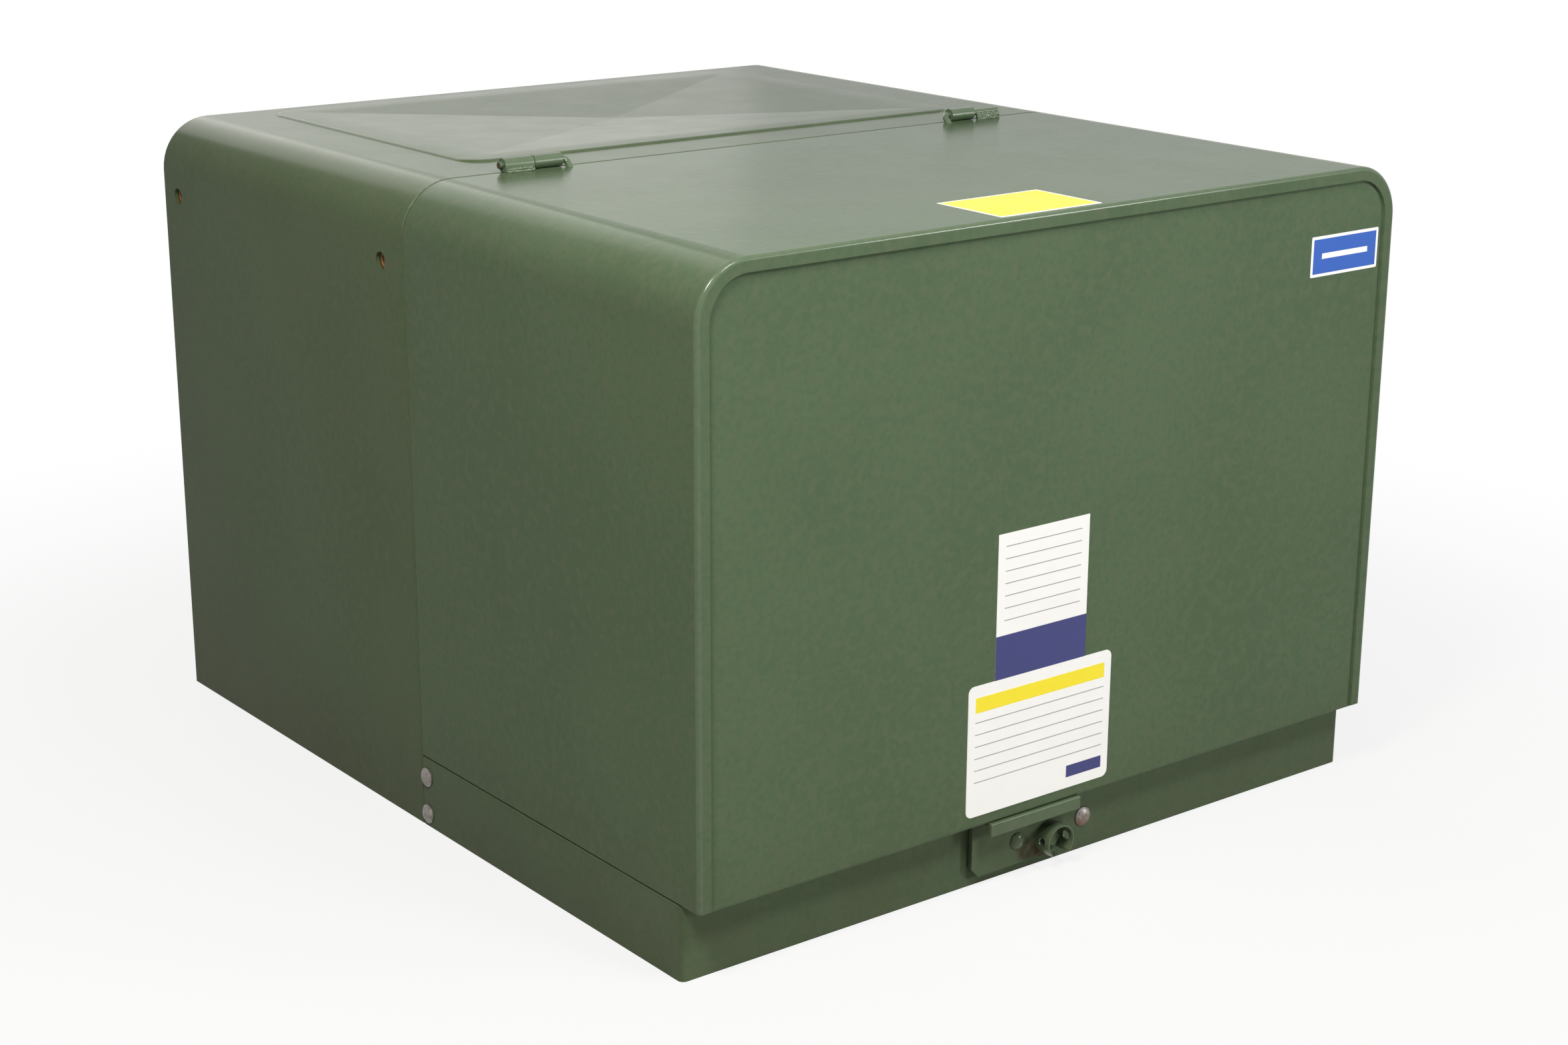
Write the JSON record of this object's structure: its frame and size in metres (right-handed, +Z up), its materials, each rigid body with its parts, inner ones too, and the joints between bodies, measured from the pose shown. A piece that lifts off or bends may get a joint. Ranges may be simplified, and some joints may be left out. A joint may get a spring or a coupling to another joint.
{
  "type": "pad-mounted power transformer",
  "caption": "Low-profile pad-mounted power transformer: sealed oil tank with a stamped cover, flip-up hood over the cable compartment, bolted sill and a padlock latch.",
  "frame": {"origin": "on the ground, at the middle of the footprint", "axes": "+X to the right seen from the front, +Y from the hood towards the tank, +Z up"},
  "size_m": [0.874, 0.992, 0.6637],
  "materials": {
    "green_paint": "semi-gloss enamel with a slight orange peel",
    "plain_steel": "bright zinc, slightly worn",
    "threaded_steel": "bare thread, brownish",
    "core_steel": "oiled",
    "bushing_rubber": "smooth",
    "bushing_epoxy": "cast epoxy",
    "tinned_copper": "tinned",
    "valve_brass": "turned",
    "plate_aluminium": "satin, blank"
  },
  "bodies": {
    "tank": {"tank_wrap": "green_paint", "tank_cover": "green_paint", "tank_front_wall": "green_paint", "tank_rear_wall": "green_paint", "tank_floor": "green_paint", "core_and_coils": "core_steel", "lifting_boss_front_left": "threaded_steel", "lifting_boss_front_right": "threaded_steel", "lifting_boss_rear_left": "threaded_steel", "lifting_boss_rear_right": "threaded_steel", "sill": "green_paint", "sill_bracket_left": "green_paint", "sill_bracket_right": "green_paint", "sill_bolts_left": "plain_steel", "sill_bolts_right": "plain_steel", "sill_front_bolt": "plain_steel", "latch_keeper": "plain_steel", "seam_lip": "green_paint", "hinge_barrel_tank_left": "green_paint", "hinge_barrel_tank_right": "green_paint", "primary_bushing_1": "bushing_rubber", "primary_bushing_2": "bushing_rubber", "secondary_bushing_1": "bushing_epoxy", "secondary_bushing_2": "bushing_epoxy", "secondary_bushing_3": "bushing_epoxy", "secondary_terminal_1": "tinned_copper", "secondary_terminal_2": "tinned_copper", "secondary_terminal_3": "tinned_copper", "fuse_holder": "bushing_rubber", "relief_valve": "valve_brass", "level_plug": "valve_brass", "drain_valve": "valve_brass", "ground_pads": "plain_steel", "rating_plate": "plate_aluminium"},
    "hood": {"hood_wrap": "green_paint", "hood_front_panel": "green_paint", "hinge_barrel_hood_left": "green_paint", "hinge_pin_left": "green_paint", "hinge_pin_right": "green_paint", "latch_plate": "green_paint", "latch_guard": "green_paint", "lock_cup": "green_paint", "lock_bolt": "green_paint", "latch_rivet": "green_paint"}
  },
  "joints": [
    {"name": "hood_hinge", "type": "hinge", "parent": "tank", "child": "hood", "pos_m": [0, -0.022, 0.657], "axis": [-1, 0, 0], "range_deg": [0, 110]}
  ]
}
